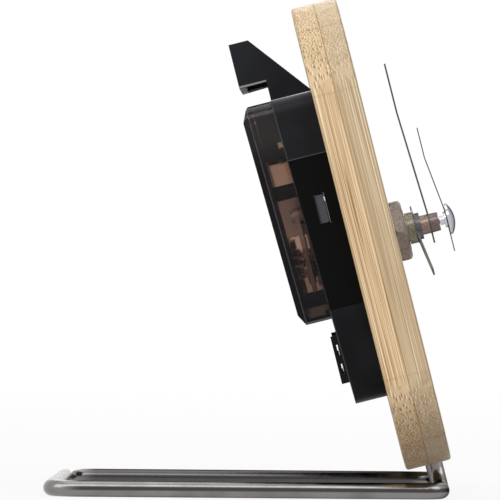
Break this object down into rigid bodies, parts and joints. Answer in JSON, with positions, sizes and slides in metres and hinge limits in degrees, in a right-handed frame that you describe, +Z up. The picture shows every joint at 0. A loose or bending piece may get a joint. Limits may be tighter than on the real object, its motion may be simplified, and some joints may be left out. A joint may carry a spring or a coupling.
{
  "type": "wooden desk clock",
  "caption": "Square bamboo board with rounded corners leaning back on a bent wire stand, with a quartz movement behind it and hour, minute and second hands in front.",
  "frame": {"origin": "middle of the bounding box on the table plane, under the clock", "axes": "+X to the 3 o'clock side seen from the front, +Y to the rear, +Z up; the board leans back 14.5 degrees about X"},
  "size_m": [0.086, 0.075, 0.0904],
  "materials": {
    "bamboo_front": "oiled, fine fibres upright",
    "bamboo_rear": "oiled, fine fibres upright",
    "nickel_rod": "nickel plated, satin",
    "black_case": "moulded, faint sheen",
    "smoky_cover": "clear smoky brown",
    "nickel_grey": "nickel plated, dull",
    "brass": "turned",
    "dark_plate": "moulded",
    "black_knob": "moulded",
    "contact_strip": "nickel plated strip",
    "green_laminate": "glass laminate",
    "black_resin": "potted drop",
    "crystal_can": "drawn can",
    "natural_plastic": "natural",
    "copper_wire": "enamelled copper wire",
    "soft_iron": "stamped",
    "screw_steel": "zinc plated",
    "magnet_grey": "sintered",
    "natural_gear": "moulded acetal",
    "hub_metal": "nickel plated, turned",
    "dark_hand": "dark grey",
    "bright_cap": "polished"
  },
  "bodies": {
    "clock": {"front_ply": "bamboo_front", "rear_ply": "bamboo_rear", "wire_stand": "nickel_rod", "front_case": "black_case", "wall_hanger": "black_case", "rear_cover": "smoky_cover", "threaded_bush": "brass", "nut_washer": "nickel_grey", "hex_nut": "nickel_grey", "middle_plate": "dark_plate", "positive_contact": "contact_strip", "negative_contact": "contact_strip", "circuit_board": "green_laminate", "driver_chip": "black_resin", "quartz_crystal": "crystal_can", "coil_bobbin": "natural_plastic", "coil_winding": "copper_wire", "coil_core": "soft_iron", "stator": "soft_iron", "stator_screws": "screw_steel"},
    "second": {"second_wheel": "natural_gear", "second_hand": "dark_hand", "second_tube": "hub_metal", "second_cap": "bright_cap"},
    "rotor": {"rotor_magnet": "magnet_grey", "rotor_pinion": "natural_gear"},
    "intermediate": {"intermediate_wheel": "natural_gear"},
    "third": {"third_wheel": "natural_gear"},
    "centre": {"centre_wheel": "natural_gear"},
    "minute": {"minute_arbor": "brass", "minute_hand": "dark_hand", "minute_nut": "hub_metal"},
    "motion": {"motion_wheel": "natural_gear"},
    "hour": {"hour_wheel": "brass", "hour_collet": "hub_metal", "hour_hand": "dark_hand"},
    "knob": {"setting_knob": "black_knob"}
  },
  "joints": [
    {"name": "second_spin", "type": "hinge", "parent": "clock", "child": "second", "pos_m": [0, -0.01777, 0.04625], "axis": [0, 0.9681, -0.2504], "continuous": true},
    {"name": "rotor_spin", "type": "hinge", "parent": "clock", "child": "rotor", "pos_m": [-0.01264, -0.01852, 0.04336], "axis": [0, 0.9681, -0.2504], "continuous": true},
    {"name": "intermediate_spin", "type": "hinge", "parent": "clock", "child": "intermediate", "pos_m": [-0.00687, -0.01811, 0.04496], "axis": [0, 0.9681, -0.2504], "continuous": true},
    {"name": "third_spin", "type": "hinge", "parent": "clock", "child": "third", "pos_m": [0.00489, -0.01631, 0.05189], "axis": [0, 0.9681, -0.2504], "continuous": true},
    {"name": "centre_spin", "type": "hinge", "parent": "clock", "child": "centre", "pos_m": [0, -0.01777, 0.04625], "axis": [0, 0.9681, -0.2504], "continuous": true},
    {"name": "minute_spin", "type": "hinge", "parent": "clock", "child": "minute", "pos_m": [0, -0.01777, 0.04625], "axis": [0, 0.9681, -0.2504], "continuous": true},
    {"name": "motion_spin", "type": "hinge", "parent": "clock", "child": "motion", "pos_m": [0.003, -0.01907, 0.04122], "axis": [0, 0.9681, -0.2504], "continuous": true},
    {"name": "hour_spin", "type": "hinge", "parent": "clock", "child": "hour", "pos_m": [0, -0.01777, 0.04625], "axis": [0, 0.9681, -0.2504], "continuous": true},
    {"name": "knob_spin", "type": "hinge", "parent": "clock", "child": "knob", "pos_m": [0.0082, -0.01832, 0.04412], "axis": [0, 0.9681, -0.2504], "continuous": true}
  ],
  "couplings": [
    {"joint": "rotor_spin", "follows": "second_spin", "ratio": 30},
    {"joint": "intermediate_spin", "follows": "second_spin", "ratio": -6},
    {"joint": "third_spin", "follows": "second_spin", "ratio": -0.13333},
    {"joint": "centre_spin", "follows": "second_spin", "ratio": 0.016667},
    {"joint": "motion_spin", "follows": "minute_spin", "ratio": -0.33333},
    {"joint": "hour_spin", "follows": "minute_spin", "ratio": 0.083333},
    {"joint": "knob_spin", "follows": "minute_spin", "ratio": 1}
  ]
}
